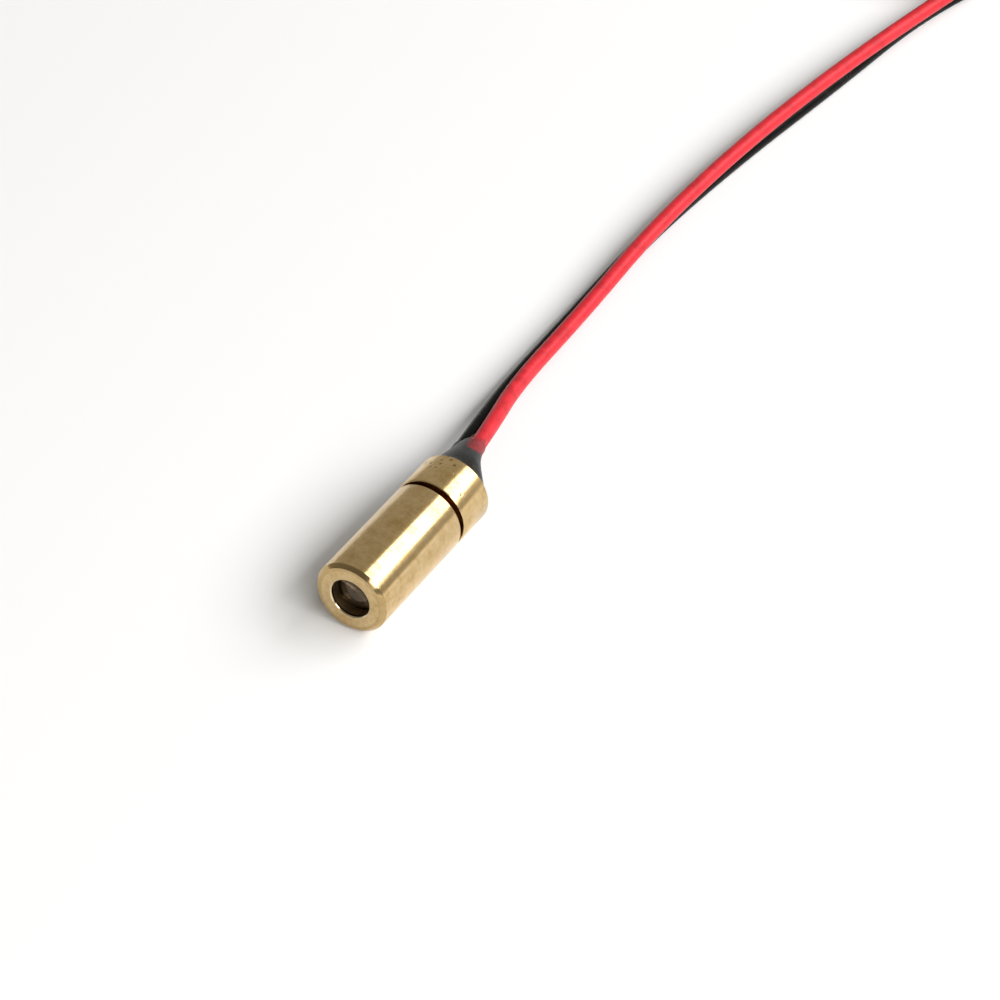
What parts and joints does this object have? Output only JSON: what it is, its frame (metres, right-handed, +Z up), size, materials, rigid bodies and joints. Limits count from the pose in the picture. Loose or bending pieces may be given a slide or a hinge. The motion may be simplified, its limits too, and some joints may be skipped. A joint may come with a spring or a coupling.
{
  "type": "laser diode module",
  "caption": "Small round brass laser diode module with a front aperture, a focus gap behind the barrel, a potted rear and a red and a black flying lead.",
  "frame": {"origin": "on the optical axis at the centre of the front face, where the barrel starts", "axes": "+Y back along the optical axis towards the leads (the beam leaves along -Y), +Z up from the surface that the module lies on"},
  "size_m": [0.012, 0.0774, 0.004],
  "materials": {
    "brass": "fine turned, bright",
    "lens_glass": "polished, coated",
    "spring_steel": "drawn wire",
    "gold_plate": "gold plated",
    "nickel_can": "nickel plated",
    "white_ceramic": "matt",
    "semiconductor": "polished",
    "seal_glass": "fused",
    "board_laminate": "solder mask",
    "chip_epoxy": "moulded",
    "capacitor_ceramic": "fired",
    "solder": "bright tin",
    "red_insulation": "satin",
    "black_insulation": "satin",
    "black_potting": "satin, cast",
    "tie_plastic": "moulded"
  },
  "bodies": {
    "root": {"front_barrel": "brass", "collimating_lens": "lens_glass", "lens_spring": "spring_steel", "diode_holder": "brass", "diode_stem": "gold_plate", "diode_cap": "nickel_can", "cap_window": "lens_glass", "chip_submount": "white_ceramic", "laser_chip": "semiconductor", "monitor_photodiode": "semiconductor", "pin_glass_seals": "seal_glass", "laser_pin": "gold_plate", "photodiode_pin": "gold_plate", "case_pin": "gold_plate", "driver_board": "board_laminate", "driver_chip": "chip_epoxy", "supply_capacitor": "capacitor_ceramic", "current_resistor": "chip_epoxy", "pin_solder_joints": "solder", "lead_solder_joints": "solder", "red_lead_core": "solder", "black_lead_core": "solder", "red_lead": "red_insulation", "black_lead": "black_insulation", "potting": "black_potting", "lead_coil": "red_insulation", "lead_tie": "tie_plastic", "red_lead_tip": "solder", "black_lead_tip": "solder"}
  },
  "joints": []
}
